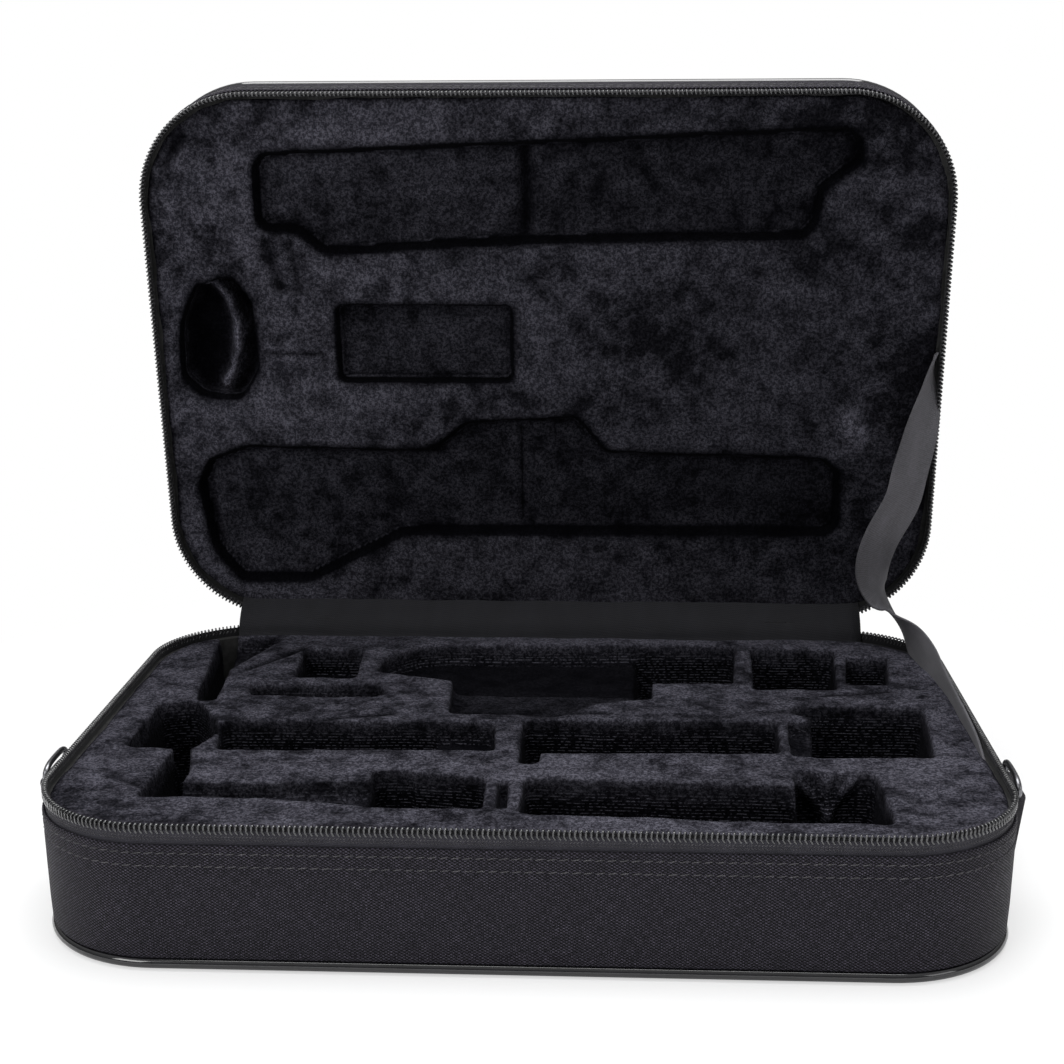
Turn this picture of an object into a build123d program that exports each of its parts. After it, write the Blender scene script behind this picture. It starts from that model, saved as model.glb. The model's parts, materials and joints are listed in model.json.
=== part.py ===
# Zipped oboe case, standing open as in the photograph.
# Millimetres, +Z up. The origin is the centre of the base's bottom face, the hinge is at +Y.
# Both halves are built from the rim: h is the distance from the rim's plane into a half.
from build123d import *
import math
import os

# The case as a whole
case_width = 356.0
case_depth = 248.0
base_height = 55.0
lid_height = 32.0
corner_radius = 49.0
wall_lean_deg = 1.6
zip_gap = 0.4

# The lid's hinge line and its pose in the photograph
hinge_behind = 2.0
open_angle = 80.4

# Layers of a wall, from the outside in
nylon_thickness = 1.2
tape_thickness = 1.0
board_wall = 4.0
board_floor = 3.0
board_below_rim = 5.0
pad_thickness = 3.0

# Zip
tape_width = 18.0
tape_showing = 7.7
coil_height = 4.2
coil_width = 2.6
coil_bevel = 0.8
tape_under_coil = 0.6
piping_radius = 2.0
piping_proud = 0.6

# Moulded plush lining
plush_below_rim = 4.0
shoulder_bevel = 0.9
pocket_draft = 3.0
foam_under_deep = 6.0
channel_depth = 22.0
ramp_depth = 10.0
small_pocket_depth = 14.0
ledge_depth = 7.0
lid_recess_depth = 8.0
lid_recess_draft = 20.0
lid_groove_depth = 5.0
bell_recess_depth = 15.0

# Fabric hinge
panel_half = 100.0
panel_thickness = 0.9
strip_half = 147.0
strip_thickness = 0.8
strip_from_wall = 12.0
strip_leg = 4.0
soft_gap = 0.3

# Zip sliders, parked at the ends of the hinge panel
slider_length = 15.0
slider_width = 9.6
wing_thickness = 1.6
inner_wing_width = 7.2
slider_clearance = 0.3
slider_travel = 12.0
post_length = 3.0
crown_length = 8.0
crown_width = 2.4
crown_wall = 1.0
pull_length = 24.0
pull_width = 5.0
pull_thickness = 1.4
pull_drop = 3.4
eye_length = 5.0
eye_limb = 0.9

# D-rings and their webbing tabs
ring_y = -58.0
ring_wire = 1.4
ring_depth = 9.2
ring_lean_deg = 5.0
ring_top_round = 3.5
ring_bar_round = 1.6
tab_width = 20.0
tab_webbing = 1.1
tab_clearance = 0.3
ring_side_clearance = 0.6
tab_below_rim = 5.0
tab_foot_height = 8.0
tab_foot_thickness = 1.5

# Stay strap between the lid and the base
strap_width = 16.0
strap_thickness = 1.2

lean = math.tan(math.radians(wall_lean_deg))
rim_z = base_height
hinge_y = case_depth / 2 + hinge_behind
hinge_z = rim_z + zip_gap / 2
hinge_axis = Axis((0, hinge_y, hinge_z), (1, 0, 0))
wall_inset = nylon_thickness + tape_thickness
cavity_inset = nylon_thickness + board_wall


def layer(inset, near, far):
    """The case's rounded outline as a solid, between two distances from the rim."""
    shrink = inset + lean * near
    outline = RectangleRounded(
        case_width - 2 * shrink, case_depth - 2 * shrink, corner_radius - shrink
    )
    return extrude(Plane.XY.offset(near) * outline, far - near, taper=wall_lean_deg)


def rim_wire(inset, h):
    """The rounded outline as a closed path at one distance from the rim."""
    shrink = inset + lean * h
    outline = RectangleRounded(
        case_width - 2 * shrink, case_depth - 2 * shrink, corner_radius - shrink
    )
    return (Plane.XY.offset(h) * outline).wire()


def rear_block(half_width):
    """A block round the middle of the rear wall, where there is no zip."""
    return Pos(0, case_depth / 2, 0) * Box(2 * half_width, case_depth / 2, case_depth)


def to_base(solid):
    """From rim coordinates to the base, whose body hangs below the rim."""
    return Pos(0, 0, rim_z) * mirror(solid, Plane.XY)


def to_lid(solid):
    """From rim coordinates to the opened lid."""
    closed = Pos(0, 0, rim_z + zip_gap) * solid
    return closed.rotate(hinge_axis, -open_angle)


def opened(y, h):
    """Where a point of the lid, given by its closed y and its h, lies when open."""
    dy = y - hinge_y
    dz = h + zip_gap / 2
    turn = math.radians(open_angle)
    return (
        hinge_y + dy * math.cos(turn) + dz * math.sin(turn),
        hinge_z - dy * math.sin(turn) + dz * math.cos(turn),
    )


def tube(path, radius):
    """A round tube along a path."""
    return sweep(Plane(origin=path @ 0, z_dir=path % 0) * Circle(radius), path)


def piping_tube(height):
    """The corded edge round a half's panel."""
    return tube(rim_wire(piping_radius - piping_proud, height - piping_radius), piping_radius)


def shell(height):
    """The rigid board tray of a half, stepped in at the top where the zip tape is glued."""
    panel_side = height - nylon_thickness
    below_tape = layer(nylon_thickness, tape_width, panel_side)
    beside_tape = layer(wall_inset, board_below_rim, tape_width)
    cavity = layer(cavity_inset, board_below_rim, panel_side - board_floor)
    piping_seat = height - 2 * piping_radius - soft_gap
    corner = layer(-piping_radius, piping_seat, height)
    corner -= layer(2 * piping_radius - piping_proud, piping_seat, height)
    return below_tape + beside_tape - cavity - corner


def side_band(height):
    """The nylon wrap of a half's wall, from its fold over the zip tape to the piping."""
    band = layer(0, tape_showing, height - 2 * piping_radius)
    return band - layer(nylon_thickness, 0, height)


def panel(height):
    """The flat nylon sheet inside the piping."""
    inside_piping = 2 * piping_radius - piping_proud
    return layer(inside_piping, height - nylon_thickness, height)


def zip_tape(end):
    """The woven tape of one half of the zip, open behind the hinge."""
    tape = layer(nylon_thickness, tape_under_coil, tape_width)
    return tape - layer(wall_inset, 0, tape_width) - rear_block(end)


def zip_coil(end):
    """The coil's bevelled bead along the rim, outside the tape and over its edge."""
    bead = layer(0, 0, coil_height) - layer(coil_width, 0, coil_height)
    bead = chamfer(bead.edges().group_by(Axis.Z)[0], coil_bevel)
    tape_slot = layer(nylon_thickness, tape_under_coil, coil_height)
    tape_slot -= layer(wall_inset, 0, coil_height)
    return bead - tape_slot - rear_block(end)


def cut_pocket(points, depth, corner, draft, top):
    """The room of one pocket, drawn anticlockwise and narrowing with its draft."""
    face = make_face(Polyline(*points, close=True))
    face = fillet(face.vertices(), corner)
    return extrude(Plane.XY.offset(top) * face, depth, taper=draft)


def lining_block(bottom):
    """The plush-covered block that fills a half, with its soft outer shoulder."""
    beside_tape = layer(wall_inset, plush_below_rim, board_below_rim)
    inside = layer(cavity_inset, board_below_rim, bottom)
    shoulder_edges = beside_tape.edges().group_by(Axis.Z)[0]
    beside_tape = chamfer(shoulder_edges, shoulder_bevel)
    return beside_tape + inside


# Plan of the pockets: the lining's sides, and the middle lines that its posts keep
left = -(case_width / 2 - wall_inset)
right = case_width / 2 - wall_inset
front = -(case_depth / 2 - wall_inset)
rear = case_depth / 2 - wall_inset


def base_pockets(bottom):
    """Every pocket of the base: three rows from the front to the hinge."""
    deep = bottom - plush_below_rim - foam_under_deep
    shapes = [
        # front row: end slot, ledge, ramp, deep step, channels and the end pocket
        (deep, 2.4, [(left + 35, front + 33), (left + 47, front + 33), (left + 48, front + 60),
                     (left + 43, front + 84), (left + 36, front + 84)]),
        (ramp_depth, 2, [(left + 45, front + 34), (left + 80, front + 35),
                         (left + 80, front + 49), (left + 45, front + 49)]),
        (ledge_depth, 2, [(left + 78, front + 35), (-56, front + 29), (-56, front + 54),
                          (left + 78, front + 49)]),
        (deep, 2.4, [(-58, front + 27), (-40, front + 27), (-42, front + 64),
                     (-58, front + 64)]),
        (channel_depth, 2, [(-43, front + 27), (-14, front + 27), (-15, front + 58),
                            (-44, front + 62)]),
        (channel_depth, 1.3, [(-10, front + 28), (-5.5, front + 28), (-6, front + 56),
                              (-10, front + 56)]),
        (channel_depth, 3, [(-1, front + 24), (right - 76, front + 19),
                            (right - 76, front + 54), (-1, front + 58)]),
        (deep, 3, [(right - 78, front + 19), (right - 45, front + 19),
                   (right - 45, front + 68), (right - 76, front + 68)]),
        # middle row: bell pocket, channel, ramp, step, long channel, ledge, square pocket
        (deep, 4, [(left + 16, -36), (left + 43, -39), (left + 50, -15), (left + 38, 10),
                   (left + 31, 21), (left + 17, 17)]),
        (channel_depth, 3, [(left + 53, -38), (-37, -36), (-39, -2), (left + 47, -4)]),
        (ramp_depth, 2, [(-40, -36), (-14, -35), (-16, -3), (-42, -2)]),
        (deep, 2.4, [(-4, -49), (4, -49), (4, 1), (-5, 1)]),
        (channel_depth, 2, [(2, -37), (right - 79, -34), (right - 77, 3), (2, 1)]),
        (ledge_depth, 2, [(right - 75, -37), (right - 65, -37), (right - 62, 3),
                          (right - 73, 3)]),
        (deep, 3, [(right - 67, -38), (right - 20, -37), (right - 15, 23), (right - 70, 22),
                   (right - 70, 12), (right - 63, 8)]),
        # rear row: flange slot, wrinkled wedge, two small pockets, the long stepped recess
        (channel_depth, 2, [(left + 26, rear - 60), (left + 31, rear - 101),
                            (left + 39, rear - 101), (left + 36, rear - 60),
                            (left + 28, rear - 6), (left + 21, rear - 6)]),
        (ledge_depth, 1, [(left + 33, rear - 60), (left + 50, rear - 9),
                          (left + 27, rear - 9)]),
        (small_pocket_depth, 3, [(left + 67, rear - 69), (left + 94, rear - 69),
                                 (left + 92, rear - 27), (left + 64, rear - 27)]),
        (ramp_depth, 2, [(left + 53, rear - 94), (left + 105, rear - 94),
                         (left + 112, rear - 89), (left + 104, rear - 77),
                         (left + 49, rear - 78)]),
        (ramp_depth, 4, [(-38, rear - 71), (42, rear - 71), (42, rear - 14),
                         (-47, rear - 18), (-60, rear - 23), (-72, rear - 35),
                         (-74, rear - 59)]),
        (deep, 2.4, [(40, rear - 93), (48, rear - 93), (50, rear - 14), (41, rear - 14)]),
        (channel_depth, 2, [(47, rear - 71), (84, rear - 70), (88, rear - 14),
                            (47, rear - 14)]),
        (channel_depth, 2, [(right - 84, rear - 77), (right - 48, rear - 77),
                            (right - 43, rear - 19), (right - 81, rear - 19)]),
        (small_pocket_depth, 2, [(right - 43, rear - 69), (right - 25, rear - 69),
                                 (right - 20, rear - 31), (right - 39, rear - 31)]),
        (ledge_depth, 2, [(-36, rear - 114), (9, rear - 115), (26, rear - 99),
                          (43, rear - 93), (43, rear - 69), (-39, rear - 69)]),
    ]
    return [cut_pocket(p, d, r, pocket_draft, plush_below_rim) for d, r, p in shapes]


def lid_pockets():
    """The lid's four shallow recesses, the bell's crescent and the grooves across two."""
    top = plush_below_rim
    upper = [(left + 48, front + 56), (left + 48, front + 30), (left + 53, front + 24),
             (-12, front + 20), (right - 45, front + 14), (right - 39, front + 20),
             (right - 38, front + 29), (right - 46, front + 35), (right - 55, front + 42),
             (right - 56, front + 55), (right - 62, front + 63), (-8, front + 65),
             (left + 78, front + 70), (left + 72, front + 65), (left + 66, front + 60),
             (left + 54, front + 60)]
    middle = [(-94, -29), (-15, -29), (-15, 7), (-94, 7)]
    bell = [(left + 11, -20), (left + 19, -38), (left + 36, -43), (left + 44, -30),
            (left + 45, 0), (left + 36, 15), (left + 18, 14), (left + 9, 5)]
    lower = [(left + 12, rear - 64), (left + 18, rear - 77), (left + 37, rear - 84),
             (-56, rear - 82), (-50, rear - 85), (-37, rear - 96), (14, rear - 99),
             (27, rear - 82), (right - 49, rear - 79), (right - 41, rear - 72),
             (right - 40, rear - 47), (right - 45, rear - 40), (-68, rear - 39),
             (left + 61, rear - 14), (left + 29, rear - 14), (left + 16, rear - 32)]
    floor = top + lid_recess_depth - lid_groove_depth / 2
    groove = [(-11, front + 24), (-6, front + 24), (-6, front + 61), (-11, front + 61)]
    seam = [(-12.5, rear - 92), (-11, rear - 92), (-11, rear - 44), (-12.5, rear - 44)]
    return [
        cut_pocket(upper, lid_recess_depth, 3.2, lid_recess_draft, top),
        cut_pocket(middle, lid_recess_depth, 2, pocket_draft, top),
        cut_pocket(bell, bell_recess_depth, 5, pocket_draft, top),
        cut_pocket(lower, lid_recess_depth, 3.2, lid_recess_draft, top),
        cut_pocket(groove, lid_groove_depth, 1, pocket_draft, floor),
        cut_pocket(seam, lid_groove_depth, 0.4, pocket_draft, floor),
    ]


def lining(height, pockets):
    """The moulded block with its pockets cut."""
    block = lining_block(lining_bottom(height))
    for pocket in pockets:
        block -= pocket
    return block


def lining_bottom(height):
    """How far from the rim the moulded block ends, on its foam sheet."""
    return height - nylon_thickness - board_floor - pad_thickness


def pad(height):
    """The foam sheet between the lining and the board."""
    top = lining_bottom(height)
    return layer(cavity_inset, top, top + pad_thickness)


def folded_sheet(points, thickness, half_width):
    """A sheet of one thickness along points in the YZ plane, mitred at its folds."""
    sides = ([], [])
    for i, (y, z) in enumerate(points):
        before = points[max(i - 1, 0)]
        after = points[min(i + 1, len(points) - 1)]
        ways = []
        for a, b in ((before, (y, z)), ((y, z), after)):
            length = math.dist(a, b)
            if length > 0:
                ways.append(((b[0] - a[0]) / length, (b[1] - a[1]) / length))
        along = (sum(w[0] for w in ways), sum(w[1] for w in ways))
        size = math.hypot(*along)
        normal = (-along[1] / size, along[0] / size)
        reach = thickness / 2 / abs(ways[0][0] * normal[1] - ways[0][1] * normal[0])
        sides[0].append((y + normal[0] * reach, z + normal[1] * reach))
        sides[1].append((y - normal[0] * reach, z - normal[1] * reach))
    outline = sides[0] + sides[1][::-1]
    face = make_face(Polyline(*outline, close=True))
    return extrude(Plane.YZ.offset(-half_width) * face, 2 * half_width)


def hinge_strip():
    """The smooth inner strip, from the base's plush to the lid's."""
    fold = case_depth / 2 - strip_from_wall
    base_z = rim_z - plush_below_rim + strip_thickness / 2
    lid_h = plush_below_rim - soft_gap - strip_thickness / 2
    points = [
        (fold - strip_leg, base_z),
        (fold, base_z),
        opened(fold, lid_h),
        opened(fold - strip_leg, lid_h),
    ]
    return folded_sheet(points, strip_thickness, strip_half)


def hinge_panel():
    """The outer nylon between the two side bands, folded behind the hinge."""
    base_y = case_depth / 2 - panel_thickness / 2 - lean * tape_showing
    lid_y = case_depth / 2 - panel_thickness / 2
    points = [
        (base_y, rim_z - tape_showing + soft_gap),
        (lid_y, rim_z - zip_gap),
        opened(lid_y, zip_gap),
        opened(base_y, tape_showing - soft_gap),
    ]
    return folded_sheet(points, panel_thickness, panel_half)


def strap():
    """The slack stay strap at the right, as it lies in the photograph."""
    # at each station: how far its middle is from the right wall, from the rear wall and
    # above the hinge, then the way that its width points
    stations = [
        ((1.5, 9.8, 130.8), (-0.05, -1, -0.17)),
        ((3.4, 14.8, 114.8), (-0.6, -0.7, 0)),
        ((7.6, 18.8, 96.8), (-0.92, -0.25, 0.08)),
        ((11.9, 20.3, 79.8), (-1, 0, 0.15)),
        ((15.3, 22.3, 66.3), (-0.93, 0, 0.38)),
        ((23.8, 22.8, 49.3), (-0.93, -0.05, 0.35)),
        ((26.8, 19.8, 35.8), (-0.98, -0.2, 0.05)),
        ((24.5, 15.8, 24.3), (-0.75, -0.62, -0.12)),
        ((19, 13.3, 15.8), (-0.3, -0.93, 0.1)),
        ((13, 18.3, 8.3), (-0.1, -0.9, 0.4)),
        ((7.5, 29.8, 2.3), (0.25, -0.5, 0.82)),
        ((4.4, 46.8, -1.2), (0.3, -0.1, 0.93)),
        ((2.9, 71.8, -3.9), (0.2, 0, 0.97)),
        ((2, 99.8, -7.7), (0.08, 0, 1)),
    ]
    centres = [Vector(right - x, rear - y, hinge_z + z) for (x, y, z), across in stations]
    sections = []
    for i, centre in enumerate(centres):
        before = centres[max(i - 1, 0)]
        after = centres[min(i + 1, len(centres) - 1)]
        along = (after - before).normalized()
        across = Vector(*stations[i][1])
        width_way = across - along * along.dot(across)
        plane = Plane(origin=centre, x_dir=width_way, z_dir=along)
        sections.append(plane * Rectangle(strap_width, strap_thickness))
    ribbon = loft(sections, ruled=True)
    beside = coil_width + soft_gap
    base_room = layer(beside, 0, plush_below_rim)
    base_solid = layer(0, -soft_gap, base_height) - base_room - layer(beside, -soft_gap, 0)
    lid_room = layer(beside, -soft_gap, plush_below_rim - soft_gap)
    lid_solid = layer(-soft_gap, -soft_gap, lid_height) - lid_room
    return ribbon - to_base(base_solid) - to_lid(lid_solid)


def slider(side):
    """A zip slider: outer wing with its crown, inner wing, and the post between them."""
    outer_face = case_depth / 2 + slider_clearance
    inner_face = case_depth / 2 - coil_width - slider_clearance
    outer = Box(slider_length, wing_thickness, slider_width)
    outer = fillet(outer.edges().filter_by(Axis.Y), slider_width / 4)
    outer = Pos(0, outer_face + wing_thickness / 2, 0) * outer
    inner = Box(slider_length, wing_thickness, inner_wing_width)
    inner = fillet(inner.edges().filter_by(Axis.Y), inner_wing_width / 4)
    inner = Pos(0, inner_face - wing_thickness / 2, 0) * inner
    post_bottom = zip_gap / 2 - hinge_z + rim_z + slider_clearance
    post_height = inner_wing_width / 2 - post_bottom
    post = Box(post_length, outer_face - inner_face, post_height)
    post = Pos(
        slider_length / 2 - post_length,
        (outer_face + inner_face) / 2,
        post_bottom + post_height / 2,
    ) * post
    wing_top = outer_face + wing_thickness
    arch_rise = pull_thickness + 2 * slider_clearance + crown_wall
    arch = Box(crown_length, arch_rise, crown_width)
    arch -= Pos(0, -crown_wall, 0) * Box(crown_length - 2 * crown_wall, arch_rise, crown_width)
    arch = fillet(arch.edges().filter_by(Axis.Z).group_by(Axis.Y)[-1], crown_wall)
    arch = Pos(0, wing_top + arch_rise / 2, -pull_drop) * arch
    body = outer + inner + post + arch
    return place_slider(body, side)


def place_slider(solid, side):
    """Moves a piece drawn for the right slider to its place, mirrored for the left one."""
    if side < 0:
        solid = mirror(solid, Plane.YZ)
    park = panel_half + slider_length / 2 + 2 * slider_clearance
    return Pos(side * park, 0, hinge_z) * solid


def pull(side):
    """A slider's flat pull: its cross bar lies under the crown and it points inward."""
    axis_y = case_depth / 2 + 2 * slider_clearance + wing_thickness + pull_thickness / 2
    tab = Box(pull_length, pull_thickness, pull_width)
    tab = fillet(tab.edges().filter_by(Axis.Y).group_by(Axis.X)[0], pull_width / 3)
    tab = Pos(-pull_length / 2, 0, 0) * tab
    eye = Box(eye_length, 2 * pull_thickness, pull_width - 2 * eye_limb)
    tab -= Pos(-pull_thickness / 2 - eye_length / 2, 0, 0) * eye
    root = Box(pull_thickness, 2 * pull_thickness, pull_width)
    tab -= Pos(-pull_thickness / 2, 0, 0) * root
    bar = Cylinder(pull_thickness / 2, pull_width)
    for end in (-1, 1):
        limb = Box(pull_thickness, pull_thickness, eye_limb)
        tab += Pos(-pull_thickness / 2, 0, end * (pull_width - eye_limb) / 2) * limb
    return place_slider(Pos(0, axis_y, -pull_drop) * (tab + bar), side)


# The ring's bar lies in the tab's loop, against the wall
loop_outer = ring_wire + tab_clearance + tab_webbing
bar_h = tab_below_rim + loop_outer
bar_x = case_width / 2 - lean * bar_h + loop_outer
bar_z = rim_z - bar_h


def ring(side):
    """A D-ring that stands up out of its tab and leans on the wall."""
    half = tab_width / 2 + ring_side_clearance + ring_wire
    path = Rectangle(ring_depth, 2 * half)
    corners = path.vertices().group_by(Axis.X)
    path = fillet(corners[0], ring_bar_round)
    path = fillet(path.vertices().group_by(Axis.X)[-1], ring_top_round)
    path = (Pos(ring_depth / 2, 0, 0) * path).wire()
    body = tube(path, ring_wire)
    body = body.rotate(Axis.Y, -90 - ring_lean_deg)
    body = Pos(bar_x, ring_y, bar_z) * body
    return mirror(body, Plane.YZ) if side < 0 else body


def ring_tab(side):
    """The webbing tab: a loop round the ring's bar, sewn down the wall."""
    wall_x = case_width / 2
    foot_x = wall_x - lean * (rim_z - tab_foot_height)
    strip = make_face(Polyline(
        (wall_x - loop_outer, bar_z),
        (bar_x + loop_outer, bar_z),
        (foot_x + tab_foot_thickness, tab_foot_height),
        (wall_x - loop_outer, tab_foot_height),
        close=True,
    ))
    loop = Pos(bar_x, bar_z) * Circle(loop_outer)
    bore = Pos(bar_x, bar_z) * Circle(ring_wire + tab_clearance)
    profile = strip + loop - bore
    body = extrude(Plane.XZ.offset(-ring_y - tab_width / 2) * profile, tab_width)
    body -= to_base(layer(0, 0, base_height))
    return mirror(body, Plane.YZ) if side < 0 else body


def all_parts():
    """Every node of the case by name."""
    base_zip_end = panel_half + slider_clearance
    lid_zip_end = panel_half + slider_length + slider_travel + 4 * slider_clearance
    base_lining = lining(base_height, base_pockets(lining_bottom(base_height)))
    lid_lining = lining(lid_height, lid_pockets())
    return {
        "base_shell": to_base(shell(base_height)),
        "base_side_band": to_base(side_band(base_height)),
        "base_bottom_panel": to_base(panel(base_height)),
        "base_piping": to_base(piping_tube(base_height)),
        "base_zip_tape": to_base(zip_tape(base_zip_end)),
        "base_zip_coil": to_base(zip_coil(base_zip_end)),
        "base_foam": to_base(pad(base_height)),
        "base_lining": to_base(base_lining),
        "ring_tab_left": ring_tab(-1),
        "ring_tab_right": ring_tab(1),
        "d_ring_left": ring(-1),
        "d_ring_right": ring(1),
        "zip_slider_left": slider(-1),
        "zip_slider_right": slider(1),
        "zip_pull_left": pull(-1),
        "zip_pull_right": pull(1),
        "lid_shell": to_lid(shell(lid_height)),
        "lid_side_band": to_lid(side_band(lid_height)),
        "lid_top_panel": to_lid(panel(lid_height)),
        "lid_piping": to_lid(piping_tube(lid_height)),
        "lid_zip_tape": to_lid(zip_tape(lid_zip_end)),
        "lid_zip_coil": to_lid(zip_coil(lid_zip_end)),
        "lid_foam": to_lid(pad(lid_height)),
        "lid_lining": to_lid(lid_lining),
        "hinge_strip": hinge_strip(),
        "hinge_panel": hinge_panel(),
        "lid_stay_strap": strap(),
    }


os.makedirs("parts", exist_ok=True)
for name, solid in all_parts().items():
    export_step(solid, f"parts/{name}.step")
    print(name, "volume", round(solid.volume))
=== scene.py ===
# Oboe case standing open: its looks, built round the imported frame.
# Metres, +Z up. Both halves are made shut, and the lid's pieces are then turned open.
import bmesh
import bpy
import json
import math
import numpy as np
from mathutils import Matrix, Vector, noise

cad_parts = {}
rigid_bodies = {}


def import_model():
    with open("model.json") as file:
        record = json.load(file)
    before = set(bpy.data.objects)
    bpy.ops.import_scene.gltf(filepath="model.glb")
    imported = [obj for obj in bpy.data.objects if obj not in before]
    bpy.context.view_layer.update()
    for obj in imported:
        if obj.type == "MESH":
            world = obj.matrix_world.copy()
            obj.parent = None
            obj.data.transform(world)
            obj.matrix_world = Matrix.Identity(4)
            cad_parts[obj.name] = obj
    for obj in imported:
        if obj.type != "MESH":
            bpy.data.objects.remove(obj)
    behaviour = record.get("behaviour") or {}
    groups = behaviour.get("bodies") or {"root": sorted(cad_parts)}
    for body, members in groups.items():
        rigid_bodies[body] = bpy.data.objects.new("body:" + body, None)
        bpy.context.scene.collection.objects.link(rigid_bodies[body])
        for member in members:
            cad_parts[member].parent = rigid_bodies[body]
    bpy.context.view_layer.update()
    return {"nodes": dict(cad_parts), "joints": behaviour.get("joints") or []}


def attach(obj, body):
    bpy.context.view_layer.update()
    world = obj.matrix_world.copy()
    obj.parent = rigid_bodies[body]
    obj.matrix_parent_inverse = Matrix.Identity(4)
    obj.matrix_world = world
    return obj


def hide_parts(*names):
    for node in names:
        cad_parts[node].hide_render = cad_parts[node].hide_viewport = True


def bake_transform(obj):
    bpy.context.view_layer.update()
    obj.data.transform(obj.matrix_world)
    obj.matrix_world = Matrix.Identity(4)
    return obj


for stray in list(bpy.data.objects):
    bpy.data.objects.remove(stray)
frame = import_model()
nodes = frame["nodes"]
lidHinge = next(j for j in frame["joints"] if j["name"] == "lid_hinge")
print("frame:", len(nodes), "nodes")

mm = 0.001
caseSize = {
    "width": 0.356, "depth": 0.248, "corner": 0.049, "lean": math.tan(math.radians(1.6)),
    "base": 0.055, "lid": 0.032, "gap": 0.0004, "arcSteps": 20,
}
hinge = Vector(lidHinge["pos_m"])
openTurn = (
    Matrix.Translation(hinge)
    @ Matrix.Rotation(-math.radians(lidHinge["range_deg"][1]), 4, "X")
    @ Matrix.Translation(-hinge)
)


# Camera and light
view = {
    "place": (0.03496, -0.680568, 0.291077), "turn": 3.01, "down": 13.308, "roll": -0.268,
    "lens": 59.5, "sensor": 36,
}


def addCamera():
    camera = bpy.data.objects.new("camera", bpy.data.cameras.new("camera"))
    bpy.context.scene.collection.objects.link(camera)
    camera.data.lens = view["lens"]
    camera.data.sensor_width = view["sensor"]
    turn = Matrix.Rotation(math.radians(view["turn"]), 4, "Z")
    tilt = Matrix.Rotation(math.radians(90 - view["down"]), 4, "X")
    roll = Matrix.Rotation(math.radians(view["roll"]), 4, "Z")
    camera.matrix_world = Matrix.Translation(view["place"]) @ turn @ tilt @ roll
    bpy.context.scene.camera = camera


def addLamp(name, place, size, power, aim=(0, 0, 0.06)):
    lamp = bpy.data.objects.new(name, bpy.data.lights.new(name, "AREA"))
    bpy.context.scene.collection.objects.link(lamp)
    lamp.data.size = size
    lamp.data.energy = power
    lamp.location = place
    lamp.rotation_euler = (Vector(aim) - Vector(place)).to_track_quat("-Z", "Y").to_euler()


addCamera()
addLamp("overhead", (0.0, 0.05, 1.4), 1.0, 22)
addLamp("frontLeft", (-1.2, -1.5, 1.1), 0.9, 15)
addLamp("frontRight", (1.5, -1.2, 0.7), 0.8, 4)
bpy.context.scene.view_settings.view_transform = "Standard"


# Shader helpers
class Sock:
    # a shader value that reads as plain arithmetic
    def __init__(self, finish, socket):
        self.finish = finish
        self.socket = socket

    def calc(self, operation, first, second=0.0):
        return self.finish.node("ShaderNodeMath", {"operation": operation}, {0: first, 1: second})

    def __add__(self, other):
        return self.calc("ADD", self, other)

    __radd__ = __add__

    def __sub__(self, other):
        return self.calc("SUBTRACT", self, other)

    def __rsub__(self, other):
        return self.calc("SUBTRACT", other, self)

    def __mul__(self, other):
        return self.calc("MULTIPLY", self, other)

    __rmul__ = __mul__

    def sine(self):
        return self.calc("SINE", self)


class Finish:
    # one material: constants go on the shader's own sockets
    def __init__(self, name, **constants):
        self.material = bpy.data.materials.new(name)
        self.material.use_nodes = True
        self.tree = self.material.node_tree
        self.shader = self.tree.nodes["Principled BSDF"]
        for label, value in constants.items():
            self.shader.inputs[label.replace("_", " ")].default_value = value

    def feed(self, socket, value):
        if isinstance(value, Sock):
            self.tree.links.new(value.socket, socket)
        else:
            socket.default_value = value

    def node(self, kind, settings, inputs, output=0):
        made = self.tree.nodes.new(kind)
        for key, value in settings.items():
            if key == "stops":
                ramp = made.color_ramp.elements
                while len(ramp) < len(value):
                    ramp.new(0.5)
                for element, (position, colour) in zip(ramp, value):
                    element.position = position
                    element.color = colour
            else:
                setattr(made, key, value)
        for key, value in inputs.items():
            self.feed(made.inputs[key], value)
        return Sock(self, made.outputs[output])

    def place(self, label="Object"):
        return self.node("ShaderNodeTexCoord", {}, {}, label)

    def scaled(self, vector, scale, turn=0.0):
        return self.node("ShaderNodeMapping", {}, {
            "Vector": vector, "Scale": scale, "Rotation": (0, 0, math.radians(turn))})

    def noise(self, vector, scale, detail=2.0, rough=0.5):
        return self.node("ShaderNodeTexNoise", {}, {
            "Vector": vector, "Scale": scale, "Detail": detail, "Roughness": rough})

    def spread(self, value, low, high, start=0.0, end=1.0):
        return self.node("ShaderNodeMapRange", {"clamp": True}, {
            "Value": value, "From Min": low, "From Max": high, "To Min": start, "To Max": end})

    def blend(self, mask, colourA, colourB):
        return self.node("ShaderNodeMix", {"data_type": "RGBA"}, {
            0: mask, 6: (*colourA, 1) if isinstance(colourA, tuple) else colourA,
            7: (*colourB, 1) if isinstance(colourB, tuple) else colourB}, 2)

    def axes(self, vector):
        split = self.node("ShaderNodeSeparateXYZ", {}, {"Vector": vector})
        return [Sock(self, split.socket.node.outputs[i]) for i in range(3)]

    def colour(self, value):
        self.feed(self.shader.inputs["Base Color"], value)

    def rough(self, value):
        self.feed(self.shader.inputs["Roughness"], value)

    def bump(self, height, distance, strength=1.0):
        made = self.node("ShaderNodeBump", {}, {
            "Height": height, "Distance": distance, "Strength": strength})
        self.feed(self.shader.inputs["Normal"], made)


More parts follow.
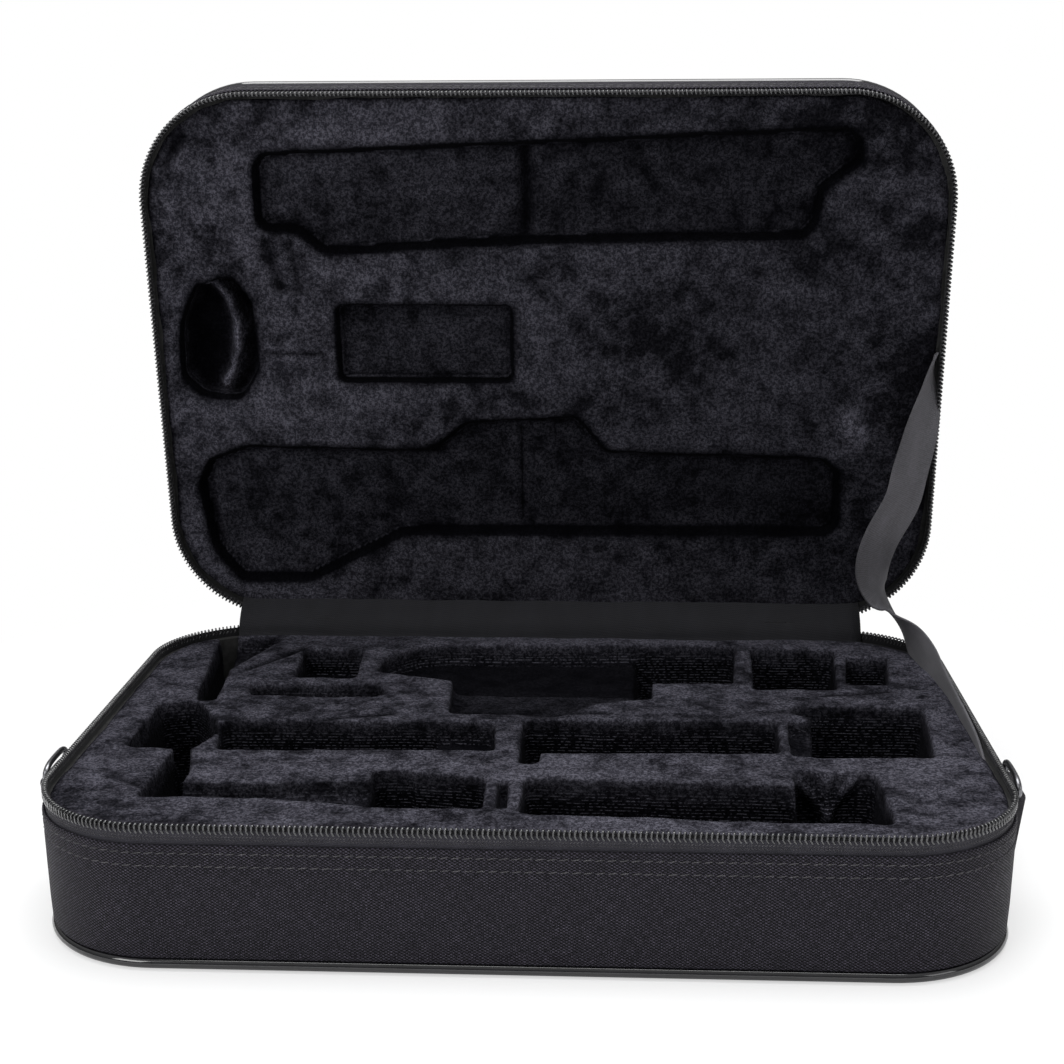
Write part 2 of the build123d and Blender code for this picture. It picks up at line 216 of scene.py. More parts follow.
# Finishes
plushLook = {
    "dark": (0.0010, 0.0010, 0.0015), "body": (0.026, 0.0256, 0.033), "tip": (0.155, 0.152, 0.187),
    "fibre": 1500, "tuft": 700, "smudge": 105, "stroke": 30, "cloud": 8,
    "knit": 1.25 * 0.001, "knitWander": 14, "knitLight": 0.30, "tipLight": 0.45,
    "foldShade": 0.97, "hollowShade": 0.95, "height": 0.0011,
}


def plushFinish(name):
    # this attribute holds the painted shade of the hollows (by how deep a spot lies), the painted
    # shade and light of folds, edges and crests, and where the knit shows
    finish = Finish(name, Sheen_Weight=0.006, Sheen_Roughness=0.5, Roughness=1.0,
                    Sheen_Tint=(0.75, 0.76, 0.85, 1), Specular_IOR_Level=0.0)
    where = finish.place()
    relief = finish.node("ShaderNodeAttribute", {"attribute_name": "relief"}, {}, "Vector")
    paintedHollowShade, fold, knit = finish.axes(relief)
    fibre = finish.noise(where, plushLook["fibre"], 1.0)
    tuft = finish.noise(where, plushLook["tuft"], 2.0)
    smudge = finish.noise(where, plushLook["smudge"], 4.0, 0.62)
    stroke = finish.noise(finish.scaled(where, (0.4, 1, 1)), plushLook["stroke"], 4.0, 0.6)
    cloud = finish.noise(where, plushLook["cloud"], 2.0)
    nap = finish.spread(stroke * 0.30 + cloud * 0.18 + smudge * 0.52, 0.41, 0.58, 0.16, 1)
    # tip speckles: partly the fibre tips' own paler tone, partly painted glints of light on them
    tipSpecksAndGlints = finish.spread(fibre * 0.45 + tuft * 0.55, 0.44, 0.60)
    # painted shade for the ground and the tips: darker in folds and hollows, and painted lighter
    # wherever the fold value drops below zero
    shade = (1 - fold * plushLook["foldShade"]) * (1 - paintedHollowShade * plushLook["hollowShade"])
    row = finish.axes(where)[2] * (2 * math.pi / plushLook["knit"])
    row = row + stroke * plushLook["knitWander"]
    loops = finish.spread(row.sine(), 0.5, 0.95) * finish.spread(tuft, 0.45, 0.58)
    ground = finish.blend(nap * shade, plushLook["dark"], plushLook["body"])
    # the pale layer: the tip speckles and their painted glints under the painted shade, and the
    # knit's loops
    light = tipSpecksAndGlints * nap * plushLook["tipLight"] * shade + loops * knit * plushLook["knitLight"]
    finish.colour(finish.blend(light, ground, plushLook["tip"]))
    finish.bump(fibre * 0.4 + tuft * 0.7 + smudge * 1.2 + stroke, plushLook["height"], 0.7)
    return finish.material


weaveLook = {
    "warp": 0.91 * 0.001, "weft": 0.57 * 0.001, "slub": 260, "dust": 60, "height": 0.00024,
    "gap": (0.0006, 0.0006, 0.001), "thread": (0.0205, 0.0182, 0.0275),
    "shine": (0.118, 0.105, 0.145),
}


def nylonFinish(name):
    # a plain weave of thick warp and finer weft, with the twill line that the light picks out
    finish = Finish(name, Specular_IOR_Level=0.16, Sheen_Weight=0.015, Sheen_Roughness=0.4)
    flat = finish.place("UV")
    across, along, _ = finish.axes(flat)
    side = across * (math.pi / weaveLook["warp"])
    rise = along * (math.pi / weaveLook["weft"])
    twill = (side - rise).sine()
    over = side.sine() * rise.sine() * 0.75 + twill * 0.25
    crown = finish.spread(over, -0.25, 0.6)
    slub = finish.noise(finish.scaled(flat, (1, 14, 1)), weaveLook["slub"], 2.0)
    pick = finish.noise(finish.scaled(flat, (14, 1, 1)), weaveLook["slub"], 2.0)
    dust = finish.noise(flat, weaveLook["dust"], 4.0, 0.6)
    lift = finish.spread(slub * 0.5 + pick * 0.5, 0.44, 0.60)
    yarn = finish.blend(lift * 0.8, weaveLook["thread"], weaveLook["shine"])
    finish.colour(finish.blend(crown * (0.6 + dust * 0.5), weaveLook["gap"], yarn))
    finish.rough(finish.spread(crown, 0, 1, 0.72, 0.5))
    finish.bump(crown + lift * 0.4 + dust * 0.5, weaveLook["height"], 0.9)
    return finish.material


webLook = {"pale": 1.25, "dark": 0.55, "fuzz": 900, "worn": 120, "shadow": (0.003, 0.003, 0.004)}


def webFinish(name, light, pitch=0.0007, shadeTo=None):
    # slanting ribs of webbing; up to shadeTo metres along its UV it lies in shadow
    finish = Finish(name, Specular_IOR_Level=0.2, Sheen_Weight=0.05, Sheen_Roughness=0.5)
    flat = finish.place("UV")
    across, along, _ = finish.axes(flat)
    turn = math.pi / pitch
    rib = (across * turn + along * turn * 1.6).sine() * (across * turn * 0.8).sine()
    crown = finish.spread(rib, -0.8, 0.9)
    fuzz = finish.noise(flat, webLook["fuzz"], 2.0)
    worn = finish.noise(finish.scaled(flat, (1, 0.3, 1)), webLook["worn"], 3.0)
    dark = tuple(c * webLook["dark"] for c in light)
    pale = tuple(c * webLook["pale"] for c in light)
    cloth = finish.blend(crown * 0.45 + finish.spread(fuzz * 0.4 + worn * 0.6, 0.4, 0.62) * 0.45,
                         dark, pale)
    if shadeTo:
        lit = finish.spread(along, shadeTo * 0.8, shadeTo)
        cloth = finish.blend(lit, webLook["shadow"], cloth)
    finish.colour(cloth)
    finish.rough(finish.spread(fuzz, 0.3, 0.7, 0.68, 0.85))
    finish.bump(crown + fuzz * 0.5, 0.00015, 0.7)
    return finish.material


def plainFinish(name, low, high, roughness, metal=0.0, grain=300, dent=0.0001, coat=0.0):
    # a grained surface between two colours, with dents as deep as dent
    finish = Finish(name, Metallic=metal, Coat_Weight=coat)
    where = finish.place()
    broad = finish.noise(where, grain * 0.2, 3.0, 0.6)
    fine = finish.noise(where, grain, 2.0)
    mask = finish.spread(broad * 0.6 + fine * 0.4, 0.38, 0.62)
    finish.colour(finish.blend(mask, low, high))
    finish.rough(finish.spread(mask, 0, 1, roughness * 1.15, roughness * 0.85))
    finish.bump(fine + broad, dent, 0.5)
    return finish.material


finishes = {
    "plush": plushFinish("plush"),
    "nylon": nylonFinish("nylon"),
    "tape": webFinish("zipTape", (0.03, 0.029, 0.037), 0.0008, 0.0026),
    "strap": webFinish("strapWebbing", (0.085, 0.083, 0.092)),
    "tabWeb": webFinish("tabWebbing", (0.05, 0.048, 0.054)),
    "velour": webFinish("hingeVelour", (0.009, 0.0092, 0.0118), 0.0009),
    "coil": plainFinish("coilNylon", (0.02, 0.02, 0.021), (0.06, 0.06, 0.063), 0.24, 0,
                        900, 0.00005, 0.5),
    "thread": plainFinish("thread", (0.02, 0.019, 0.022), (0.06, 0.057, 0.064), 0.6, 0,
                          2500, 0.0001),
    "piping": plainFinish("pipingVinyl", (0.006, 0.006, 0.007), (0.010, 0.010, 0.012), 0.10, 0,
                          200, 0.00002, 0.6),
    "board": plainFinish("board", (0.004, 0.004, 0.004), (0.009, 0.009, 0.009), 0.9),
    "foam": plainFinish("foam", (0.03, 0.03, 0.03), (0.05, 0.05, 0.05), 0.95, 0, 1200, 0.0004),
    "nickel": plainFinish("nickel", (0.15, 0.15, 0.16), (0.24, 0.24, 0.25), 0.3, 1.0,
                          500, 0.00003),
    "enamel": plainFinish("blackEnamel", (0.010, 0.010, 0.011), (0.022, 0.022, 0.023), 0.3, 0,
                          400, 0.00003, 0.4),
}
print("finishes:", len(finishes))


def giveFinish(piece, key):
    piece.data.materials.clear()
    piece.data.materials.append(finishes[key])


# Modelling helpers
def clearSelection():
    if bpy.context.mode != "OBJECT":
        bpy.ops.object.mode_set(mode="OBJECT")
    bpy.ops.object.select_all(action="DESELECT")


def makeActive(piece):
    clearSelection()
    piece.select_set(True)
    bpy.context.view_layer.objects.active = piece


def applyAll(piece):
    makeActive(piece)
    for modifier in list(piece.modifiers):
        bpy.ops.object.modifier_apply(modifier=modifier.name)


def thicken(piece, thickness, offset=-1):
    thick = piece.modifiers.new("thick", "SOLIDIFY")
    thick.thickness = thickness
    thick.offset = offset


def heightOf(half, depth):
    if half == "base":
        return caseSize["base"] - depth
    return caseSize["base"] + caseSize["gap"] + depth


def addOutline(half, inset, depth):
    # in edit mode: one rounded outline of the case, left selected
    shrink = inset + caseSize["lean"] * depth
    height = heightOf(half, depth)
    bpy.ops.mesh.select_all(action="DESELECT")
    bpy.ops.mesh.primitive_plane_add(size=1, location=(0, 0, height))
    bpy.ops.transform.resize(
        value=(caseSize["width"] - 2 * shrink, caseSize["depth"] - 2 * shrink, 1),
        center_override=(0, 0, height))
    bpy.ops.mesh.bevel(offset=caseSize["corner"] - shrink, segments=caseSize["arcSteps"],
                       affect="VERTICES")
    bpy.ops.mesh.delete(type="ONLY_FACE")


def emptyMesh(name):
    clearSelection()
    bpy.ops.mesh.primitive_plane_add(size=0.1)
    piece = bpy.context.object
    piece.name = piece.data.name = name
    bpy.ops.object.mode_set(mode="EDIT")
    bpy.ops.mesh.delete(type="VERT")
    return piece


def ringWall(name, half, levels, closed=True, cap=False):
    # outlines of the case at (inset, distance from the rim), each joined to the next
    piece = emptyMesh(name)
    for inset, depth in levels:
        addOutline(half, inset * mm, depth * mm)
    mesh = bmesh.from_edit_mesh(piece.data)
    mesh.verts.ensure_lookup_table()
    points = list(mesh.verts)
    perLevel = len(points) // len(levels)
    run = [(e.verts[0].index, e.verts[1].index) for e in mesh.edges
           if max(v.index for v in e.verts) < perLevel]
    pairs = [(i, i + 1) for i in range(len(levels) - 1)]
    if closed:
        pairs.append((len(levels) - 1, 0))
    for first, second in pairs:
        for a, b in run:
            mesh.faces.new([points[first * perLevel + a], points[first * perLevel + b],
                            points[second * perLevel + b], points[second * perLevel + a]])
    if cap:
        last = set(points[-perLevel:])
        bmesh.ops.contextual_create(mesh, geom=[e for e in mesh.edges if set(e.verts) <= last])
    bmesh.update_edit_mesh(piece.data)
    bpy.ops.mesh.select_all(action="SELECT")
    bpy.ops.mesh.bisect(plane_co=(0, 0, 0), plane_no=(1, 0, 0))
    bpy.ops.mesh.select_all(action="SELECT")
    bpy.ops.mesh.normals_make_consistent(inside=False)
    bpy.ops.object.mode_set(mode="OBJECT")
    return piece


def openBehind(piece, end):
    # takes out the middle of the rear wall and closes the two cut ends
    makeActive(piece)
    bpy.ops.object.mode_set(mode="EDIT")
    for side in (-1, 1):
        bpy.ops.mesh.select_all(action="SELECT")
        bpy.ops.mesh.bisect(plane_co=(side * end, 0, 0), plane_no=(1, 0, 0))
    bpy.ops.mesh.select_all(action="DESELECT")
    mesh = bmesh.from_edit_mesh(piece.data)
    for face in mesh.faces:
        middle = face.calc_center_median()
        if middle.y > caseSize["depth"] * 0.45 and abs(middle.x) < end - 1e-6:
            face.select_set(True)
    bmesh.update_edit_mesh(piece.data)
    bpy.ops.mesh.delete(type="FACE")
    bpy.ops.mesh.select_all(action="SELECT")
    bpy.ops.mesh.fill_holes(sides=0)
    bpy.ops.object.mode_set(mode="OBJECT")


def aroundAt(x, y):
    # distance round the case from the middle of its front, for x of 0 or more
    a = caseSize["width"] / 2 - caseSize["corner"]
    b = caseSize["depth"] / 2 - caseSize["corner"]
    arc = caseSize["corner"] * math.pi / 2
    if x <= a:
        return x if y < 0 else a + arc + 2 * b + arc + (a - x)
    if y < -b:
        return a + caseSize["corner"] * math.atan2(x - a, -(y + b))
    if y > b:
        return a + arc + 2 * b + caseSize["corner"] * math.atan2(y - b, x - a)
    return a + arc + (y + b)


def edgeDistance(x, y, shrink=0.0):
    # how far inside the case's outline a point lies
    a = caseSize["width"] / 2 - caseSize["corner"]
    b = caseSize["depth"] / 2 - caseSize["corner"]
    dx, dy = abs(x) - a, abs(y) - b
    outside = math.hypot(max(dx, 0), max(dy, 0)) + min(max(dx, dy), 0)
    return caseSize["corner"] - outside - shrink


def freshUv(piece):
    # the shader reads the first UV map, so the primitives' own ones go
    for old in list(piece.data.uv_layers):
        piece.data.uv_layers.remove(old)
    return piece.data.uv_layers.new(name="weave")


def wrapUv(piece, half, innerFrom=None):
    # across is the way round the case, along is the distance from the rim, none on an inner side
    layer = freshUv(piece)
    rim = heightOf(half, 0)
    for face in piece.data.polygons:
        side = 1 if face.center.x > 0 else -1
        lean = caseSize["lean"] * abs(face.center.z - rim)
        if innerFrom and edgeDistance(face.center.x, face.center.y, lean) > innerFrom:
            for corner in face.loop_indices:
                layer.data[corner].uv = (0, 0)
            continue
        for corner in face.loop_indices:
            co = piece.data.vertices[piece.data.loops[corner].vertex_index].co
            layer.data[corner].uv = (side * aroundAt(abs(co.x), co.y), abs(co.z - rim))


def flatUv(piece):
    layer = freshUv(piece)
    for loop, spot in zip(piece.data.loops, layer.data):
        co = piece.data.vertices[loop.vertex_index].co
        spot.uv = (co.x, co.y)


def settle(piece, half, finish, replaced, body=None, angle=35):
    # opens a lid's piece, gives it its finish and lets it ride
    makeActive(piece)
    bpy.ops.object.shade_smooth_by_angle(angle=math.radians(angle))
    if half == "lid":
        piece.data.transform(openTurn)
    giveFinish(piece, finish)
    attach(piece, body or half)
    if replaced:
        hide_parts(*replaced)


# Nylon wrap and panels
band = {
    "fold": [(1.2, 9.4), (1.12, 8.2), (0.8, 7.72), (0.35, 7.7), (0.0, 8.15)],
    "rows": [(-0.12, 9.2), (0.14, 10.6), (-0.1, 12.9), (0.14, 15.4), (-0.1, 17.6)],
}


def addBand(half):
    height = caseSize[half] / mm
    foot = height - 4
    middle = [(-0.12, 17.6 + (foot - 17.6) * share) for share in (0.35, 0.7)]
    levels = [(1.2, foot - 0.3)] + band["fold"] + band["rows"] + middle
    levels += [(0.1, foot - 1.2), (0.55, foot - 0.25)]
    piece = ringWall(half + "Band", half, levels)
    wrapUv(piece, half)
    settle(piece, half, "nylon", [half + "_side_band"])


def addPanel(half):
    height = caseSize[half] / mm
    crown = 0.9 if half == "lid" else 0
    steps = [(3.3, -1.2), (3.6, -0.5), (4.6, -0.12), (9, 0.15 * crown), (18, 0.5 * crown),
             (30, 0.85 * crown), (44, crown)]
    levels = [(inset, height + rise) for inset, rise in steps]
    piece = ringWall(half + "Panel", half, levels, closed=False, cap=True)
    flatUv(piece)
    node = "base_bottom_panel" if half == "base" else "lid_top_panel"
    settle(piece, half, "nylon", [node])


for half in ("base", "lid"):
    addBand(half)
    addPanel(half)
print("nylon: bands and panels")


# Paths round the case
def rimCurve(name, half, inset, depth, end=None):
    # a poly curve round the case, open behind the hinge when an end is given
    piece = emptyMesh(name)
    addOutline(half, inset * mm, depth * mm)
    if end:
        mesh = bmesh.from_edit_mesh(piece.data)
        back = max(v.co.y for v in mesh.verts)
        straight = next(e for e in mesh.edges if all(abs(v.co.y - back) < 1e-6 for v in e.verts))
        ends = list(straight.verts)
        mesh.edges.remove(straight)
        for vertex in ends:
            near = mesh.verts.new((math.copysign(end, vertex.co.x), vertex.co.y, vertex.co.z))
            mesh.edges.new((vertex, near))
        bmesh.update_edit_mesh(piece.data)
    bpy.ops.object.mode_set(mode="OBJECT")
    bpy.ops.object.convert(target="CURVE")
    curve = bpy.context.object
    curve.data.dimensions = "3D"
    curve.data.twist_mode = "Z_UP"
    return curve


def curveLength(curve):
    return sum(spline.calc_length() for spline in curve.data.splines)


def rowAlong(piece, curve, pitch):
    # repeats a piece drawn along X and lays the row along the curve
    repeat = piece.modifiers.new("repeat", "ARRAY")
    repeat.use_relative_offset = False
    repeat.use_constant_offset = True
    repeat.constant_offset_displace = (pitch, 0, 0)
    repeat.count = int(curveLength(curve) / pitch)
    bendRow = piece.modifiers.new("bend", "CURVE")
    bendRow.object = curve
    bendRow.deform_axis = "POS_X"
    applyAll(piece)
    bpy.data.objects.remove(curve)


# Piping
piping = {"radius": 2.0, "inset": 1.4, "sides": 5}


def addPiping(half):
    depth = caseSize[half] / mm - piping["radius"]
    curve = rimCurve(half + "Piping", half, piping["inset"], depth)
    curve.data.bevel_depth = piping["radius"] * mm
    curve.data.bevel_resolution = piping["sides"]
    bpy.ops.object.convert(target="MESH")
    piece = bpy.context.object
    settle(piece, half, "piping", [half + "_piping"], angle=60)


for half in ("base", "lid"):
    addPiping(half)
print("piping: two cords")


# Zip
zipper = {
    "pitch": 1.85 * mm, "wire": 0.40, "foot": 1.9, "head": 0.42, "halfWidth": 0.75,
    "centre": 1.4, "threadTop": 2.0, "threadFoot": 3.5, "threadSlant": 0.42, "threadOut": 0.72,
    "baseEnd": 0.1003, "lidEnd": 0.1282,
}
stitch = {
    "pitch": 4.1 * mm, "length": 3.1 * mm, "radius": 0.27 * mm, "tilt": 9, "taper": 0.45,
    "rows": (10.6, 15.4),
}


def wireAlong(name, points, radius, up, sides=1):
    # a short round wire through points of (along, across, distance from the rim) in mm
    data = bpy.data.curves.new(name, "CURVE")
    data.dimensions = "3D"
    line = data.splines.new("POLY")
    line.points.add(len(points) - 1)
    for point, (x, y, depth) in zip(line.points, points):
        point.co = (x * mm, y * mm, (-depth if up else depth) * mm, 1)
    data.bevel_depth = radius * mm
    data.bevel_resolution = sides
    data.use_fill_caps = True
    piece = bpy.data.objects.new(name, data)
    bpy.context.scene.collection.objects.link(piece)
    makeActive(piece)
    bpy.ops.object.convert(target="MESH")
    return bpy.context.object


def joinInto(piece, others):
    clearSelection()
    for other in others:
        other.select_set(True)
    piece.select_set(True)
    bpy.context.view_layer.objects.active = piece
    bpy.ops.object.join()
    return piece


def addTooth(name, up):
    # one turn of the coil over the rim, and the slanting sewing thread below it on both sides
    w, foot, head = zipper["halfWidth"], zipper["foot"], zipper["head"]
    loop = [(-0.3, -w * 0.7, foot), (-0.25, -w, head + 0.5), (-0.12, -w * 0.85, head + 0.08),
            (0, 0, head - 0.12), (0.12, w * 0.85, head + 0.08), (0.25, w, head + 0.5),
            (0.3, w * 0.7, foot)]
    piece = wireAlong(name, loop, zipper["wire"], up)
    threads = []
    for side in (-1, 1):
        slant, out = zipper["threadSlant"], side * zipper["threadOut"]
        points = [(-slant, out * 0.8, zipper["threadTop"]),
                  (-slant * 0.2, out, (zipper["threadTop"] + zipper["threadFoot"]) / 2),
                  (slant, out * 0.75, zipper["threadFoot"])]
        threads.append(wireAlong(name + "Thread", points, 0.36, up))
    return joinInto(piece, threads)


def addCoil(half):
    end = zipper[half + "End"]
    curve = rimCurve(half + "CoilPath", half, zipper["centre"], 0, end)
    piece = addTooth(half + "Coil", up=(half == "base"))
    rowAlong(piece, curve, zipper["pitch"])
    settle(piece, half, "coil", [half + "_zip_coil"], angle=60)


def addTape(half):
    levels = [(1.15, 17.5), (1.15, 6), (1.1, 4.4), (0.9, 3.8), (0.95, 2.2), (1.2, 1.4), (1.4, 1.1),
              (1.9, 1.1), (2.2, 1.5), (2.2, 17.5)]
    piece = ringWall(half + "Tape", half, levels)
    wrapUv(piece, half, innerFrom=1.7 * mm)
    openBehind(piece, zipper[half + "End"])
    settle(piece, half, "tape", [half + "_zip_tape"])


def addStitch(name):
    # a short thread drawn along X, dipping at both ends
    clearSelection()
    bpy.ops.mesh.primitive_cylinder_add(vertices=6, radius=stitch["radius"], depth=stitch["length"],
                                        rotation=(0, math.radians(90), 0))
    piece = bpy.context.object
    piece.name = piece.data.name = name
    bpy.ops.object.transform_apply(location=True, rotation=True, scale=True)
    bpy.ops.object.mode_set(mode="EDIT")
    bpy.ops.mesh.select_all(action="SELECT")
    bpy.ops.mesh.bisect(plane_co=(stitch["length"] * 0.25, 0, 0), plane_no=(1, 0, 0))
    bpy.ops.mesh.select_all(action="SELECT")
    bpy.ops.mesh.bisect(plane_co=(-stitch["length"] * 0.25, 0, 0), plane_no=(1, 0, 0))
    bpy.ops.object.mode_set(mode="OBJECT")
    for vertex in piece.data.vertices:
        share = abs(vertex.co.x) / (stitch["length"] / 2)
        thin = 1 - stitch["taper"] * share ** 3
        vertex.co.y *= thin
        vertex.co.z = vertex.co.z * thin + vertex.co.x * math.tan(math.radians(stitch["tilt"]))
    return piece


def addStitchRow(half, row, inset, tag):
    curve = rimCurve(half + tag + "Path", half, inset, row)
    piece = addStitch(half + tag)
    rowAlong(piece, curve, stitch["pitch"])
    settle(piece, half, "thread", [], angle=60)


tapeSeam = {"rows": (4.6, 5.7), "pitch": 1.25 * mm, "half": 0.42, "rise": 0.34, "radius": 0.22}


def addSeam(half, row, count):
    # a row of tiny slanting threads on the tape, leaning the other way in every other row
    name = f"{half}TapeSeam{count + 1}"
    rise = tapeSeam["rise"] * (1 if count % 2 else -1)
    points = [(-tapeSeam["half"], 0, -rise), (0, 0.12, 0), (tapeSeam["half"], 0, rise)]
    piece = wireAlong(name, points, tapeSeam["radius"], half == "base", 0)
    rowAlong(piece, rimCurve(name + "Path", half, 1.1, row), tapeSeam["pitch"])
    settle(piece, half, "thread", [], angle=60)


for half in ("base", "lid"):
    addCoil(half)
    addTape(half)
    for count, row in enumerate(stitch["rows"]):
        addStitchRow(half, row, 0.06, f"Stitches{count + 1}")
    for count, row in enumerate(tapeSeam["rows"]):
        addSeam(half, row, count)
print("zip: coils, tapes and stitch rows")


# Plush linings
lining = {
    "voxel": 1.4 * mm, "smoothing": 4, "cut": 9 * mm, "cutInset": 6.4 * mm, "foamTop": 7.2 * mm,
    "foamRoom": 1.2 * mm, "fill": 0.9, "top": 4.0, "blur": 24, "lip": 0.9,
    "edge": {"base": 8.0, "lid": 6.0}, "deep": {"base": 9.5, "lid": 15.0},
    # fold and band set how strong and how wide the painted shade along the recess edges is; the
    # last value is how much darker the lid's right side is painted
    "fold": {"base": 0.5, "lid": 1.0}, "band": {"base": 4.4, "lid": 8.5},
    "shoulder": 6.5, "drop": 1.1, "sideShade": 0.5,
}
# how the pile's shape and its painted shade and light are read off the block: distances in mm, the
# rest are shares
reliefLook = {
    "inner": 9, "start": 0.8, "bandStart": 0.15, "lipMost": 0.12, "lipSpan": 0.42, "lipPower": 1.5,
    "footAt": 0.80, "footSpan": 0.07, "footLight": 1.7, "creaseFloor": 12, "creaseShade": 0.85,
    "ridgeWidth": 3.3, "ridgeDepth": 8, "ridgeRise": 9, "ridgeLight": 1.1,
    "sideShadeFrom": -110, "sideShadeSpan": 190, "fluffDepth": 3, "fluffLight": 1.2,
    "knitFrom": 3, "knitSpan": 4, "shoulderDepth": 3, "shoulderEdge": 2.2, "edgeShadeReach": 5,
    "hills": ((38, 0.55), (110, 0.3)),
}


def copyNode(node, name):
    piece = nodes[node].copy()
    piece.data = nodes[node].data.copy()
    for key in list(piece.keys()):
        del piece[key]
    piece.parent = None
    piece.matrix_world = Matrix.Identity(4)
    piece.name = piece.data.name = name
    bpy.context.scene.collection.objects.link(piece)
    makeActive(piece)
    bpy.ops.object.mode_set(mode="EDIT")
    bpy.ops.mesh.select_all(action="SELECT")
    bpy.ops.mesh.remove_doubles(threshold=1e-6)
    bpy.ops.object.mode_set(mode="OBJECT")
    return piece


# Folds and seams in the plush: both ends in mm on the shut case, half width and depth
creases = {
    "lid": [
        ((-12, 31), (-12, 77), 1.0, 1.6), ((-131, -7), (-101, -6), 1.3, 0.8),
        ((-124, -58), (-119, -38), 3.2, 1.2), ((-113, -57), (-110, -36), 2.8, 0.9),
        ((-166, -92), (-157, -104), 2.6, 0.9), ((-8.5, -98), (-8.5, -61), 3.0, 2.2),
    ],
    "base": [
        ((-141, 66), (-128, 110), 2.4, 1.5), ((-132, 64), (-112, 98), 2.6, 1.2),
        ((-88, -2), (-60, 6), 2.2, 0.6), ((-30, 12), (30, 9), 2.4, 0.6),
        ((120, 36), (150, 44), 2.2, 0.8), ((-150, -72), (-128, -86), 2.2, 0.7),
    ],
}
bellRidge = [(-150.6, -39.4), (-143.5, -31), (-140.6, -20), (-141, -8), (-143.6, 2), (-148, 10)]
fluffSpot = {"middle": (142, 30), "radius": 9.0, "height": 1.8}
# light is the painted highlight on each wall fold's crest
wallFolds = {
    "lines": [((99, 50), (124, 22)), ((122, 48), (106, 24)), ((112, 52), (113, 30))],
    "x": (97, 131), "y": (-61, -50), "from": 2, "width": 1.8, "rise": 2.6, "light": 0.9,
}


def lineDistance(spots, a, b):
    # distance of plan points from a straight stretch, all in mm
    a, b = np.array(a, float), np.array(b, float)
    run = b - a
    share = np.clip(((spots - a) @ run) / (run @ run), 0, 1)
    return np.linalg.norm(spots - a - share[:, None] * run, axis=1)


def blurred(values, edges, times):
    # every point takes on half its neighbours' mean, over and over
    first, second = edges[:, 0], edges[:, 1]
    count = len(values)
    near = np.maximum(np.bincount(first, minlength=count) + np.bincount(second, minlength=count), 1)
    for _ in range(times):
        total = (np.bincount(first, values[second], count)
                 + np.bincount(second, values[first], count))
        values = 0.5 * values + 0.5 * total / near
    return values


def ramp(value, start, span):
    return np.clip((value - start) / span, 0, 1)


def hump(distance, width):
    return np.exp(-(distance / width) ** 2)


